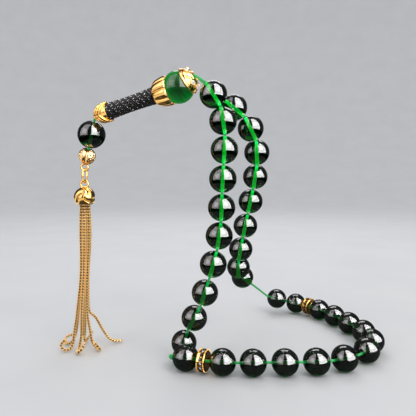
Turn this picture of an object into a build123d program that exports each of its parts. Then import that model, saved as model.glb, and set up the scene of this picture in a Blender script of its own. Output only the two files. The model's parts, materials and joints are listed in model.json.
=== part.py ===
from build123d import *
import math
import os

# Thirty-three-bead prayer strand (misbaha) lying as if draped over a support that is left out.
# Millimetres. +X right, +Y away from the viewer, +Z up, table plane at the lowest bead.

# ---- strand ----
BEAD_R = 5.0
BORE_R = 0.58
MOUTH_R = 1.1
MOUTH_DEPTH = 0.5
CORD_R = 0.5
HANG_PITCH = 10.45
BACK_PITCH = 10.75
SNUG_PITCH = 10.75
TABLE_PITCH = 11.76
SLACK_STEP = 2.2
CORD_BEND = 0.8

# ---- divider discs ----
DIVIDER_R = 4.3
DIVIDER_T = 3.2
DIVIDER_STEP = 3.7
DIVIDER_STONES = 14
DIVIDER_STONE = 1.15
MILGRAIN_R = 0.28
DIVIDER_BAND_R = 4.1
DIVIDER_EYE_R = 1.2
DIVIDER_BEVEL = 0.6
DIVIDER_EDGE = 0.3
STONE_DEPTH = 0.95
STONE_BLOCK = 0.9
POCKET_GAP = 0.02

# ---- head bead and crown ----
HEAD_R = 6.1
HEAD = Vector(-16.0, -32.5, 106.3)
CROWN_DIR = Vector(3.6, -1.3, 2.15).normalized()
CROWN_RIM_AT = 3.75
CROWN_RIM_R = 5.35
CROWN_TOP_AT = 7.0
CROWN_MOUTH_R = 1.45
KNOT_R = 1.2
KNOT_AT = 6.1
CORD_SPREAD = 0.56
CRYSTALS = 8
CRYSTAL_R = 0.98
CRYSTAL_SEAT_R = 3.72
CRYSTAL_LEAN = 38
CRYSTAL_GIRDLE = 0.45
CRYSTAL_TOP = 0.4
KNOT_ROOM = 0.08

# ---- imame: tulip cap, braided sleeve on a core tube, chevron cap, all on one straight axis ----
TIP = Vector(-50.7, -17.7, 97.45)
IMAME_DIR = (TIP - HEAD).normalized()
TIP_AT = (TIP - HEAD).length
TULIP_RIM_AT = 3.2
TULIP_END_AT = 9.7
TULIP_R = 5.75
TULIP_LOBES = 8
TULIP_GROOVE_R = 0.62
TULIP_GROOVE_LEAN = -6
TUBE_START_AT = 10.3
TUBE_R = 1.55
TUBE_BORE_R = 0.8
SLEEVE_R = 3.5
SLEEVE_WAIST_R = 3.15
SLEEVE_TUCK = 0.9
CHEVRON_LENGTH = 7.0
CHEVRON_R = 4.15
CHEVRON_RIDGE_R = 0.42
CHEVRON_RIDGES = [(4.1, 0.45), (4.1, 2.3), (3.55, 4.2)]
CAP_WALL = 0.55
FIT = 0.05

# ---- pendant line: drop bead, clamshell, link, tassel ----
DROP_R = 5.65
DROP = Vector(-52.8, -17.0, 90.0)
PENDANT_TILT = 13.0
CLAM_R = 3.55
CLAM_INNER_R = 2.1
CLAM_AT = 9.0
CLAM_SPLIT = 0.16
END_KNOT_R = 1.1
EYE_R = 1.4
EYE_WIRE_R = 0.4
EYE_AT = 4.75
LINK_WIRE_R = 0.33
LINK_HALF_WIDTH = 1.05
LINK_TURN = 35.0
CAP_EYE_R = 1.55
CAP_EYE_WIRE_R = 0.43
CAP_EYE = Vector(-56.1, -17.0, 69.6)
CAP_R = 4.35
CAP_DROP = 5.3
CAP_MOUTH_R = 3.15
CAP_FLAT = 3.9
CAP_SHELL = 0.8
CAP_NECK_R = 0.9

# ---- tassel ----
CHAIN_R = 0.76
CHAIN_RING_R = 1.62
CHAIN_BALL_R = 0.62
CHAIN_NECK_R = 0.36
BALL_DROP = 6.2
SOCKET_GAP = 0.06
PLATE_R = 3.12
PLATE_T = 1.5
OUTER_CHAINS = 6
# height above the table: reach from the tassel's axis and drift to the left
CHAIN_FAN = {50: (2.0, 0.0), 40: (1.75, -0.3), 29: (1.62, -0.9), 20: (2.15, -1.5)}
CHAIN_FOOT_DRIFT = -1.7
CHAIN_NECK_LENGTH = 3.2


def along(origin, direction, shape, turn=0.0):
    """Move a shape built on the Z axis so that Z runs along direction from origin."""
    frame = Plane(origin=origin, x_dir=side_of(direction), z_dir=direction)
    return frame.location * Rot(0, 0, turn) * shape


def side_of(direction):
    """A horizontal direction square to the given one."""
    flat = direction.cross(Vector(0, 0, 1))
    return flat.normalized() if flat.length > 0.05 else Vector(1, 0, 0)


def turned(outline):
    """Revolve a closed outline of (radius, height) points about Z."""
    points = [(r, 0, z) for r, z in outline]
    face = make_face(Polyline(*points, close=True))
    return revolve(face, axis=Axis.Z)


def rounded_wire(corners, bend=CORD_BEND):
    """Straight runs joined by tangent arcs, as a taut cord takes corners."""
    edges = []
    last = corners[0]
    for before, corner, after in zip(corners, corners[1:], corners[2:]):
        incoming = (corner - before).normalized()
        outgoing = (after - corner).normalized()
        if incoming.get_angle(outgoing) < 0.2:
            continue
        reach = min(bend, 0.42 * (corner - before).length, 0.42 * (after - corner).length)
        start = corner - incoming * reach
        end = corner + outgoing * reach
        edges.append(Line(last, start))
        edges.append(TangentArc(start, end, tangent=incoming))
        last = end
    edges.append(Line(last, corners[-1]))
    return Wire(edges)


def swept(wire, radius):
    """A round cord along a wire."""
    start = wire.position_at(0)
    section = Plane(origin=start, z_dir=wire.tangent_at(0)) * Circle(radius)
    return sweep(section, path=wire)


def march(guide, steps):
    """Corner points along a guide curve, each a stated straight distance from the last."""
    u = 0.0
    corners = [guide.position_at(0)]
    for step in steps:
        low = u
        high = u
        while (guide.position_at(high) - corners[-1]).length < step:
            low = high
            high = high + 0.004
        for _ in range(24):
            u = (low + high) / 2
            if (guide.position_at(u) - corners[-1]).length < step:
                low = u
            else:
                high = u
        corners.append(guide.position_at(u))
    return corners


# ---- route of the strand ----
# down the front, round on the table and back behind the support
FRONT_ROUTE = [
    (-5.8, -38.6, 106.8),
    (-0.2, -40.3, 97.6),
    (0.3, -40.3, 72.2),
    (-0.8, -40.0, 50.4),
    (-3.2, -39.0, 39.7),
    (-6.3, -36.2, 28.4),
    (-10.4, -32.2, 17.0),
    (-14.9, -27.2, 7.0),
    (-16.2, -28.6, 1.4),
    (-18.4, -32.2, 1.4),
    (-19.8, -35.4, 4.2),
    (-17.8, -37.6, 5.0),
    (-13.0, -39.0, 5.0),
    (-7.7, -41.4, 5.0),
    (-0.9, -43.4, 5.0),
    (22.6, -43.4, 5.0),
    (34.6, -43.2, 5.0),
    (46.3, -40.4, 5.0),
    (57.4, -32.2, 5.0),
    (63.8, -21.8, 5.0),
    (63.9, -11.0, 5.0),
    (60.4, 0.4, 5.0),
    (56.9, 12.4, 5.0),
    (51.7, 22.6, 5.0),
    (46.8, 29.4, 5.0),
    (41.0, 33.8, 5.2),
    (35.4, 34.2, 6.4),
    (29.8, 32.6, 8.2),
    (24.4, 29.6, 10.6),
    (18.0, 24.0, 14.0),
]
# from the crown down the far side of the support
BACK_ROUTE = [
    (0.6, -32.4, 102.1),
    (5.0, -31.4, 99.2),
    (11.5, -29.4, 92.5),
    (14.6, -24.0, 83.4),
    (14.6, -19.0, 73.5),
    (12.8, -16.4, 63.0),
    (10.8, -14.6, 52.5),
    (9.0, -12.8, 42.0),
    (8.0, -8.4, 33.0),
    (9.0, -1.6, 28.2),
    (14.0, 10.0, 24.0),
]

# straight distance between cord corners: every step but the slack ones carries a bead or divider
FRONT_STEPS = (
    [HANG_PITCH] * 6
    + [11.6, 12.6, 12.8, 12.0]
    + [SLACK_STEP] * 5
    + [SNUG_PITCH, DIVIDER_STEP, SNUG_PITCH]
    + [TABLE_PITCH] * 4
    + [SLACK_STEP]
    + [TABLE_PITCH] * 5
    + [SNUG_PITCH, DIVIDER_STEP, SNUG_PITCH]
    + [TABLE_PITCH]
)


def route_corners():
    """Corner points of the loop and, for each bead or divider, its two corners."""
    front = march(Spline(*FRONT_ROUTE), FRONT_STEPS)
    front = [Vector(p.X, p.Y, BEAD_R) if abs(p.Z - BEAD_R) < 0.4 else p for p in front]
    back = march(Spline(*BACK_ROUTE), [BACK_PITCH] * 8)
    gap = (front[-1] - back[-1]).normalized()
    free_bead_end = back[-1] + gap * BACK_PITCH
    rising = [free_bead_end] + list(reversed(back))
    pieces = []
    for step, a, b in zip(FRONT_STEPS, front, front[1:]):
        if step != SLACK_STEP:
            pieces.append((step == DIVIDER_STEP, a, b))
    for a, b in zip(rising, rising[1:]):
        pieces.append((False, a, b))
    beads = [(a, b) for is_divider, a, b in pieces if not is_divider]
    dividers = [(a, b) for is_divider, a, b in pieces if is_divider]
    return front + rising, beads, dividers


CORNERS, BEADS, DIVIDERS = route_corners()
KNOT = HEAD + CROWN_DIR * KNOT_AT
CROWN_SIDE = side_of(CROWN_DIR)
CROWN_EXIT = HEAD + CROWN_DIR * (CROWN_TOP_AT + 0.7)
PENDANT_UP = Vector(math.sin(math.radians(PENDANT_TILT)), 0, math.cos(math.radians(PENDANT_TILT)))
CLAM = DROP - PENDANT_UP * CLAM_AT
EYE = CLAM - PENDANT_UP * EYE_AT


def make_cord():
    """One elastic cord: the loop, the gathering knot, the tail through the head and the end knot."""
    lean = CROWN_SIDE * CORD_SPREAD
    loop = [KNOT + lean, CROWN_EXIT + lean] + CORNERS + [CROWN_EXIT - lean, KNOT - lean]
    tail = [
        KNOT,
        HEAD - CROWN_DIR * (HEAD_R + 0.3),
        HEAD + IMAME_DIR * (TUBE_START_AT - 0.3),
        TIP + IMAME_DIR * 0.4,
        DROP + PENDANT_UP * (DROP_R + 0.5),
        CLAM,
    ]
    knotted_tail = swept(rounded_wire(tail), CORD_R) + along(KNOT, CROWN_DIR, Sphere(KNOT_R))
    cord = swept(rounded_wire(loop), CORD_R) + knotted_tail
    return cord + Pos(*CLAM) * Sphere(END_KNOT_R)


def drilled_ball(radius):
    """A round bead on the Z axis with a bore and a countersunk mouth at each end."""
    half = math.sqrt(radius**2 - BORE_R**2)
    ball = Sphere(radius) - Cylinder(BORE_R, 2.2 * radius)
    for end in (1, -1):
        mouth = turned([
            (0, half - MOUTH_DEPTH),
            (BORE_R, half - MOUTH_DEPTH),
            (MOUTH_R, half),
            (MOUTH_R + 0.6, half + 0.6),
            (0, half + 0.6),
        ])
        ball -= mouth if end == 1 else Rot(180, 0, 0) * mouth
    return ball


def make_divider():
    """A bored disc with a milgrain bead roll on each edge and square pockets round the rim."""
    half = DIVIDER_T / 2
    dish = DIVIDER_EDGE - 0.05
    lower = [
        (BORE_R, -half + 2 * dish),
        (DIVIDER_EYE_R, -half + dish),
        (DIVIDER_BAND_R - DIVIDER_BEVEL, -half),
        (DIVIDER_BAND_R, -half + DIVIDER_EDGE),
    ]
    disc = turned(lower + [(r, -z) for r, z in reversed(lower)])
    for end in (1, -1):
        disc += Pos(0, 0, end * (half - MILGRAIN_R)) * Torus(DIVIDER_R - MILGRAIN_R, MILGRAIN_R)
    return disc - divider_ring(DIVIDER_STONE + 2 * POCKET_GAP, POCKET_GAP)


def divider_ring(width, sink):
    """The ring of square stones set point-on in a divider's rim."""
    centre = DIVIDER_R - STONE_DEPTH - sink + STONE_BLOCK / 2
    stone = Pos(centre, 0, 0) * Rot(45, 0, 0) * Box(STONE_BLOCK, width, width)
    pitch = 360 / DIVIDER_STONES
    return Part() + [Rot(0, 0, i * pitch) * stone for i in range(DIVIDER_STONES)]


def head_seat(low_at, high_at, steps=8):
    """Points on the head bead's surface, from one height on its axis to another, for a cap to fit."""
    radius = HEAD_R + FIT
    low, high = math.acos(low_at / radius), math.acos(high_at / radius)
    angles = [low + (high - low) * i / steps for i in range(steps + 1)]
    return [(radius * math.sin(angle), radius * math.cos(angle)) for angle in angles]


def crown_outline():
    """Outline of the crown cap from the bead's surface out to the domed top."""
    mouth_at = math.sqrt((HEAD_R + FIT) ** 2 - CROWN_MOUTH_R**2)
    outer = [
        (CROWN_MOUTH_R, CROWN_TOP_AT + 0.25),
        (CROWN_MOUTH_R + 0.55, CROWN_TOP_AT + 0.25),
        (CROWN_MOUTH_R + 0.8, CROWN_TOP_AT - 0.1),
        (3.3, CROWN_TOP_AT - 0.35),
        (4.4, CROWN_TOP_AT - 1.15),
        (5.0, CROWN_TOP_AT - 2.05),
        (CROWN_RIM_R, CROWN_TOP_AT - 2.7),
        (CROWN_RIM_R, CROWN_RIM_AT + 0.15),
        (CROWN_RIM_R - 0.15, CROWN_RIM_AT),
    ]
    return head_seat(CROWN_RIM_AT, mouth_at) + outer


def crystal(grow):
    """One round brilliant on the crown's slope, as a low facetted cone on a girdle."""
    radius = CRYSTAL_R + grow
    outline = RegularPolygon(radius, 8)
    gem = extrude(outline, amount=CRYSTAL_GIRDLE)
    top = extrude(Pos(0, 0, CRYSTAL_GIRDLE) * outline, amount=CRYSTAL_TOP, taper=38)
    return gem + top


def crystal_ring(grow=0.0):
    """The ring of crystals round the crown."""
    gem = Pos(CRYSTAL_SEAT_R, 0, CROWN_TOP_AT - 0.95) * Rot(0, CRYSTAL_LEAN, 0) * crystal(grow)
    pitch = 360 / CRYSTALS
    return Part() + [Rot(0, 0, i * pitch) * gem for i in range(CRYSTALS)]


def make_crown():
    return turned(crown_outline()) - crystal_ring(POCKET_GAP)


def make_head_bead():
    """The large bead, with a round seat for the gathering knot under the crown."""
    return drilled_ball(HEAD_R) - Pos(0, 0, KNOT_AT) * Sphere(KNOT_R + KNOT_ROOM)


def make_tulip():
    """A fluted cup that takes the head bead in its mouth and the sleeve in its neck."""
    neck = SLEEVE_R + FIT
    hole = TUBE_R + FIT
    cup = turned([
        (TULIP_R, TULIP_RIM_AT + 0.1),
        (TULIP_R + 0.1, 4.6),
        (TULIP_R - 0.15, 6.4),
        (TULIP_R - 0.75, 8.2),
        (TULIP_R - 1.15, TULIP_END_AT),
        (neck, TULIP_END_AT),
        (neck, TULIP_END_AT - SLEEVE_TUCK),
        (hole, TULIP_END_AT - SLEEVE_TUCK),
        (hole, TULIP_END_AT - SLEEVE_TUCK - CAP_WALL),
        (3.6, TULIP_END_AT - SLEEVE_TUCK - CAP_WALL),
        *reversed(head_seat(TULIP_RIM_AT, 4.6)),
    ])
    middle = (TULIP_RIM_AT + TULIP_END_AT) / 2
    groove = Pos(TULIP_R + 0.35, 0, middle) * Rot(0, TULIP_GROOVE_LEAN, 0) * Cylinder(TULIP_GROOVE_R, 9)
    for i in range(TULIP_LOBES):
        cup -= Rot(0, 0, i * 360 / TULIP_LOBES) * groove
    return cup


def make_core_tube():
    """The plain tube that carries the cord under the sleeve."""
    start = TUBE_START_AT
    end = TIP_AT - 2.2
    return turned([(TUBE_BORE_R, start), (TUBE_R, start), (TUBE_R, end), (TUBE_BORE_R, end)])


def make_sleeve():
    """The braided sleeve as a plain waisted tube."""
    start = TULIP_END_AT - SLEEVE_TUCK + FIT
    end = TIP_AT - CHEVRON_LENGTH + SLEEVE_TUCK - FIT
    inner = TUBE_R + FIT
    middle = (start + end) / 2
    waist = ThreePointArc((SLEEVE_R, 0, start), (SLEEVE_WAIST_R, 0, middle), (SLEEVE_R, 0, end))
    rest = Polyline((SLEEVE_R, 0, end), (inner, 0, end), (inner, 0, start), (SLEEVE_R, 0, start))
    return revolve(make_face([*waist.edges(), *rest.edges()]), axis=Axis.Z)


def make_chevron_cap():
    """A domed end cap with raised rolls, open at the tip for the cord."""
    rim = TIP_AT - CHEVRON_LENGTH
    neck = SLEEVE_R + FIT
    cap = turned([
        (neck, rim),
        (CHEVRON_R, rim),
        (CHEVRON_R + 0.05, rim + 1.8),
        (CHEVRON_R - 0.3, rim + 3.6),
        (CHEVRON_R - 1.2, rim + 5.4),
        (CHEVRON_R - 2.3, rim + 6.6),
        (1.45, TIP_AT),
        (0.95, TIP_AT - 1.2),
        (0.95, TIP_AT - 1.6),
        (TUBE_R + FIT, TIP_AT - 1.7),
        (TUBE_R + FIT, rim + SLEEVE_TUCK + 1.2),
        (neck, rim + SLEEVE_TUCK),
    ])
    for radius, height in CHEVRON_RIDGES:
        cap += Pos(0, 0, rim + height) * Torus(radius, CHEVRON_RIDGE_R)
    bore = turned([
        (0, rim - 1),
        (neck, rim - 1),
        (neck, rim + SLEEVE_TUCK),
        (TUBE_R + FIT, rim + SLEEVE_TUCK + 1.2),
        (TUBE_R + FIT, TIP_AT - 1.7),
        (0, TIP_AT - 1.7),
    ])
    return cap - bore


def clam_half(side):
    """Half of the hollow clamshell that hides the end knot; the right half carries the eye."""
    shell = Sphere(CLAM_R) - Sphere(CLAM_INNER_R)
    shell -= Pos(0, 0, CLAM_R / 2 + 0.5) * Cylinder(BORE_R + 0.04, CLAM_R + 1)
    keep = Pos(side * (CLAM_R + 1 + CLAM_SPLIT / 2), 0, 0) * Box(2 * CLAM_R + 2, 12, 12)
    half = shell & keep
    eye = Pos(0, 0, -EYE_AT) * Rot(90, 0, 0)
    if side > 0:
        return half + eye * Torus(EYE_R, EYE_WIRE_R)
    return half - eye * Torus(EYE_R, EYE_WIRE_R + FIT)


def make_link():
    """The oval link: two half-turns joined by straight sides, hung between the two eyes."""
    top = EYE.Z - EYE_R + EYE_WIRE_R + LINK_WIRE_R + FIT - LINK_HALF_WIDTH
    bottom = CAP_EYE.Z + CAP_EYE_R - CAP_EYE_WIRE_R - LINK_WIRE_R - FIT + LINK_HALF_WIDTH
    height = top - bottom
    centre = Vector((EYE.X + CAP_EYE.X) / 2, EYE.Y, (top + bottom) / 2)
    half = height / 2
    w = LINK_HALF_WIDTH
    oval = Wire([
        Line((w, 0, -half), (w, 0, half)),
        ThreePointArc((w, 0, half), (0, 0, half + w), (-w, 0, half)),
        Line((-w, 0, half), (-w, 0, -half)),
        ThreePointArc((-w, 0, -half), (0, 0, -half - w), (w, 0, -half)),
    ])
    lean = math.degrees(math.atan2(EYE.X - CAP_EYE.X, height))
    return Pos(*centre) * Rot(0, lean, 0) * Rot(0, 0, 90 - LINK_TURN) * swept(oval, LINK_WIRE_R)


def link_foot():
    """Centre of the link's lower bend, which the cap's eye swings about."""
    return CAP_EYE + Vector(0, 0, CAP_EYE_R - CAP_EYE_WIRE_R - LINK_WIRE_R - FIT + LINK_HALF_WIDTH)


def make_tassel_cap():
    """A hollow ball cap with an eye on top and a round mouth below for the chains."""
    centre = Pos(0, 0, -CAP_DROP)
    ball = Sphere(CAP_R)
    ball -= Pos(0, 0, -CAP_FLAT - 5) * Box(12, 12, 10)
    ball -= Sphere(CAP_R - CAP_SHELL) - Pos(0, 0, 6.6) * Box(12, 12, 10)
    ball -= Pos(0, 0, -3) * Cylinder(CAP_MOUTH_R, 4)
    neck = Pos(0, 0, CAP_R - 0.05) * Cylinder(CAP_NECK_R, 0.5)
    eye = Rot(90, 0, 0) * Torus(CAP_EYE_R, CAP_EYE_WIRE_R)
    return Pos(*CAP_EYE) * (centre * (ball + neck) + eye)


def chain_spot(k):
    """Where chain k hangs from the plate, seen from above: six round one."""
    if k == OUTER_CHAINS:
        return Vector(0, 0, 0)
    angle = math.radians(30 + 60 * k)
    return Vector(CHAIN_RING_R * math.cos(angle), CHAIN_RING_R * math.sin(angle), 0)


def make_plate():
    """The plate pressed into the cap, with a ball socket flared below for each chain."""
    plate = Pos(0, 0, -BALL_DROP) * Cylinder(PLATE_R, PLATE_T)
    for k in range(OUTER_CHAINS + 1):
        spot = Pos(*chain_spot(k)) * Pos(0, 0, -BALL_DROP)
        plate -= spot * Sphere(CHAIN_BALL_R + SOCKET_GAP)
        flare = turned([(0, 0), (0.42, 0), (0.7, -1.0), (0, -1.0)])
        plate -= spot * flare
    return Pos(*CAP_EYE) * plate


def chain_line(k):
    """Centre line of chain k below its ball, ending in its own curl on the table."""
    top = CAP_EYE + Vector(0, 0, -BALL_DROP) + chain_spot(k)
    angle = math.radians(30 + 60 * k)
    out = Vector(math.cos(angle), math.sin(angle), 0)
    side = Vector(-math.sin(angle), math.cos(angle), 0)
    if k == OUTER_CHAINS:
        out = Vector(0, 0, 0)
        side = Vector(0, 0, 0)
    axis = Vector(CAP_EYE.X, CAP_EYE.Y, 0)
    points = [top]
    for z, (reach, drift) in CHAIN_FAN.items():
        points.append(axis + out * reach + Vector(drift, 0, z))
    foot = axis + Vector(CHAIN_FOOT_DRIFT, 0, 0)
    for radial, lateral, z in CURLS[k]:
        points.append(foot + out * radial + side * lateral + Vector(0, 0, z))
    return Spline(*points)


# tail of each chain: outward, sideways and height of a few points, from the back-right chain round
CURLS = [
    [(3.1, 0, 15), (5.0, 0.2, 13.0), (7.0, 0.4, 9.4), (9.0, 0, 5.6), (12.2, -1.0, 1.6), (15.4, -2.2, 1.2)],
    [(2.8, 0, 13), (3.3, 0.2, 6), (5.2, 0.8, 1.2), (7.6, 0.2, 1.6), (8.2, -1.2, 3.6), (6.8, -1.8, 4.6)],
    [(3.0, 0, 13), (4.2, 0.3, 6), (7.0, 1.2, 1.2), (10.2, 0.6, 1.0), (11.6, -1.2, 2.4), (9.6, -2.4, 3.4)],
    [(2.9, 0, 13), (4.0, 0, 6), (6.2, 1.0, 1.1), (8.6, 0.8, 1.4), (9.2, -0.8, 3.2), (7.4, -1.6, 4.2)],
    [(2.7, 0, 13), (3.3, -0.3, 5), (5.0, -0.9, 1.2), (7.4, -0.4, 1.1), (8.2, 1.2, 2.4), (6.6, 1.9, 4.2)],
    [(2.8, 0, 13), (3.9, 0.2, 7), (5.0, 0.4, 3), (7.6, 0.6, 1.0), (9.6, -0.8, 2.0), (8.4, -1.9, 4.2)],
    [(0, 0, 12), (0, 0, 7.5), (0, 0, 5.5)],
]


def make_chain(k):
    """One chain: ball, thin neck and the chain's body."""
    top = CAP_EYE + Vector(0, 0, -BALL_DROP) + chain_spot(k)
    body = swept(Wire([chain_line(k).edge().trim(0.03, 1.0)]), CHAIN_R)
    neck = Pos(*(top - Vector(0, 0, CHAIN_NECK_LENGTH / 2))) * Cylinder(CHAIN_NECK_R, CHAIN_NECK_LENGTH)
    return body + neck + Pos(*top) * Sphere(CHAIN_BALL_R)


def build_nodes():
    """Every node by name, in the layout frame."""
    nodes = {"cord": make_cord()}
    bead = drilled_ball(BEAD_R)
    for i, (a, b) in enumerate(BEADS):
        nodes[f"bead_{i + 1:02d}"] = along((a + b) / 2, (b - a).normalized(), bead)
    disc = make_divider()
    stones = divider_ring(DIVIDER_STONE, 0)
    for i, (a, b) in enumerate(DIVIDERS):
        centre, axis = (a + b) / 2, (b - a).normalized()
        nodes[f"divider_{i + 1}"] = along(centre, axis, disc)
        nodes[f"divider_{i + 1}_stones"] = along(centre, axis, stones)
    nodes["head_bead"] = along(HEAD, CROWN_DIR, make_head_bead())
    nodes["crown_cap"] = along(HEAD, CROWN_DIR, make_crown())
    nodes["crown_crystals"] = along(HEAD, CROWN_DIR, crystal_ring())
    for name, shape in (
        ("tulip_cap", make_tulip()),
        ("core_tube", make_core_tube()),
        ("braided_sleeve", make_sleeve()),
        ("chevron_cap", make_chevron_cap()),
    ):
        nodes[name] = along(HEAD, IMAME_DIR, shape)
    nodes["drop_bead"] = Pos(*DROP) * Rot(0, PENDANT_TILT, 0) * drilled_ball(DROP_R)
    for name, side in (("clamshell_left", -1), ("clamshell_right", 1)):
        nodes[name] = Pos(*CLAM) * Rot(0, PENDANT_TILT, 0) * clam_half(side)
    nodes["oval_link"] = make_link()
    nodes["tassel_cap"] = make_tassel_cap()
    nodes["chain_plate"] = make_plate()
    for k in range(OUTER_CHAINS + 1):
        nodes[f"chain_{k + 1}"] = make_chain(k)
    return nodes


def centred(nodes):
    """Shift everything so that the origin is the bottom centre of the whole strand."""
    box = Compound(children=[Compound(n.wrapped) for n in nodes.values()]).bounding_box()
    shift = Vector(-(box.min.X + box.max.X) / 2, -(box.min.Y + box.max.Y) / 2, -box.min.Z)
    return shift, {name: Pos(*shift) * node for name, node in nodes.items()}


SHIFT, NODES = centred(build_nodes())
os.makedirs("parts", exist_ok=True)
for name, node in NODES.items():
    export_step(node, f"parts/{name}.step")
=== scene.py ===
import json
import math

import bpy
import numpy as np
from mathutils import Matrix, Vector, noise


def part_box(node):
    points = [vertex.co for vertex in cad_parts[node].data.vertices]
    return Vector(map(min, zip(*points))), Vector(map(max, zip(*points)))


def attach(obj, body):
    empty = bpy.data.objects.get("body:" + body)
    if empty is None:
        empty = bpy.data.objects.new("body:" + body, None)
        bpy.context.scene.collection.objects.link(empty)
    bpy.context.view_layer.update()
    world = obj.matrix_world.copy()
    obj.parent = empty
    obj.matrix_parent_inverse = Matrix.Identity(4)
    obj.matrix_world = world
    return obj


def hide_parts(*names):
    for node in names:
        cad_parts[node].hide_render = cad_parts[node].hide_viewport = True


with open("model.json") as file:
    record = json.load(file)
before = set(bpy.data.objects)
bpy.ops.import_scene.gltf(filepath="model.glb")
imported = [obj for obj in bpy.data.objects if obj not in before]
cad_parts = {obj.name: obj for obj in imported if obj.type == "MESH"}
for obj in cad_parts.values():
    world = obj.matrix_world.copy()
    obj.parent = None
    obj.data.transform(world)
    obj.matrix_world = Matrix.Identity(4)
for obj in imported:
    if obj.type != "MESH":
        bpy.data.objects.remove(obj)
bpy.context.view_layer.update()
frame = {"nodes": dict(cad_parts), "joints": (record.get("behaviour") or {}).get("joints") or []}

# Lengths in this script are millimetres; meshes are made in metres by mesh_data().
MM = 0.001
TAU = 2 * math.pi

# ---- strand ----
BEAD_R = 5.0
BORE_R = 0.58
BORE_CLEAR = 0.06
MOUTH_R = 1.1
MOUTH_DEPTH = 0.5
CORD_R = 0.5
CORD_BEND = 0.8
CORD_STEP = 0.4
CORD_LOBES = 5
CORD_TWIST = 1.1
CORD_SIDES = 15
HALF_HANG = 5.225
HALF_LAST_HANG = 6.0
HALF_SNUG = 5.375
HALF_TABLE = 5.88
# ---- dividers ----
DIVIDER_R = 4.3
DIVIDER_HALF = 1.6
DIVIDER_STONES = 14
DIVIDER_STONE = 1.15
DIVIDER_BAND_R = DIVIDER_R - 0.36
GEM_DEPTH = 0.45
GEM_HEIGHT = 0.34
GEM_SINK = 0.02
GEM_TABLE = 0.52
CLAW_R = 0.17
CLAW_AT = 0.52
MILGRAIN = 34
MILGRAIN_R = 0.235
# ---- head and crown ----
HEAD_R = 6.1
FIT = 0.05
CROWN_TOP = 7.0
CROWN_RIM_AT = 3.75
CROWN_RIM_R = 5.35
CROWN_MOUTH_R = 1.45
KNOT_AT = 6.1
KNOT_SEAT_R = 1.28
KNOT_R = 1.2
CORD_SPREAD = 0.56
CRYSTALS = 8
CRYSTAL_R = 0.98
CRYSTAL_RING_R = 3.72
CRYSTAL_DROP = 0.95
CRYSTAL_LEAN = 38
BEZEL_WIRE = 0.14
CROWN_CLAW_R = 0.2
CROWN_GRAINS = 40
CROWN_PRESS = 0.16
# ---- imame ----
TIP_AT = 38.75
TULIP_R = 5.75
TULIP_RIM_AT = 3.2
TULIP_END_AT = 9.7
TULIP_LOBES = 8
TULIP_VALLEY = 1.25
TULIP_TAPER = 1.05
TULIP_PILLOW = 0.45
TULIP_EASE = 0.55
TULIP_STEPS = 26
TUBE_START_AT = 10.3
TUBE_HOLE_R = 1.62
SLEEVE_R = 3.5
SLEEVE_WAIST_R = 3.15
SLEEVE_TUCK = 0.9
SLEEVE_STRANDS = 12
SLEEVE_TURNS = 1.55
SLEEVE_STEPS = 130
SLEEVE_LINER = 0.75
STRAND_THICK = 0.13
STRAND_WIDE = 0.40
STRAND_SINK = 0.36
STRAND_WEAVE = 0.2
SILVER_R = 0.07
SILVER_LIFT = 0.1
SILVER_SHIFT = 0.05
CHEVRON_LENGTH = 7.0
CHEVRON_R = 4.15
CHEVRON_BASE_R = CHEVRON_R - 0.6
CHEVRON_TIP_R = 1.3
CHEVRON_BASES = (0.35, 1.75, 3.15)
CHEVRON_RISE = 2.9
CHEVRON_WIRE = 0.38
CHEVRON_PROUD = 0.26
CHEVRON_STEPS = 18
# ---- pendant line ----
DROP_R = 5.65
CLAM_R = 3.55
CLAM_INNER_R = 2.1
CLAM_GAP = 0.08
CLAM_KNOT_R = 1.1
CLAM_NOTCH_R = 0.64
DUST_SCALE = 2.3
DUST_DEPTH = 0.3
DUST_SINK = 0.12
EYE_R = 1.4
EYE_WIRE_R = 0.4
EYE_AT = 4.75
LINK_WIRE_R = 0.33
LINK_HALF_WIDTH = 1.05
LINK_TURN = 35.0
LINK_SWELL = 0.14
CAP_EYE_R = 1.55
CAP_EYE_WIRE_R = 0.43
CAP_R = 4.35
CAP_DROP = 5.3
CAP_MOUTH_R = 3.15
CAP_RIM = math.sqrt(CAP_R ** 2 - CAP_MOUTH_R ** 2)
CAP_HOLLOW_R = 2.75
SWIRL_DEPTH = 0.26
SWIRL_FADE = 0.8
SWIRL_POLE = (0.30, -0.93, 0.22)
SWIRL_ROLLS = 3
SWIRL_TWIST = 4.2
SWIRL_EYE = 0.3
# ---- tassel chains ----
CHAIN_RING_R = 1.62
BALL_DROP = 6.2
OUTER_CHAINS = 6
LINK_STEP = 1.2
LINK_LONG = 0.40
LINK_WIDE = 0.08
LINK_WIRE = 0.17
LINK_LEAN = 48.0
LINK_DIP = 0.05
LINK_OUT = 0.50
# radius of the dark rod of painted shade inside each chain
CHAIN_SHADE_CORE_R = 0.4
CHAIN_PINCH = 0.74
CHAIN_PINCH_RUN = 6.0
# ---- camera ----
CAMERA_AT = (-5.045, -201.38, 73.8)
CAMERA_DOWN = 4.22
CAMERA_LENS = 39.68
SENSOR = 36.0
# ---- studio ----
COVE_R = 1700.0
COVE_BEND_R = 900.0
COVE_TOP = 1500.0
AIM = (0, 0, 40)
WINDOW_AT = 900.0
WINDOW_HEIGHT = 60
WORLD_GLOW = 1.05
WORLD_DIMMED = 0.94

JOINT = {j["child"]: j for j in frame["joints"]}


# ======== placing
def joint_point(body):
    return Vector(JOINT[body]["pos_m"]) / MM


def joint_axis(body):
    return Vector(JOINT[body]["axis"]).normalized()


def side_of(direction):
    """A horizontal direction square to the given one."""
    flat = direction.cross(Vector((0, 0, 1)))
    return flat.normalized() if flat.length > 0.05 else Vector((1, 0, 0))


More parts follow.
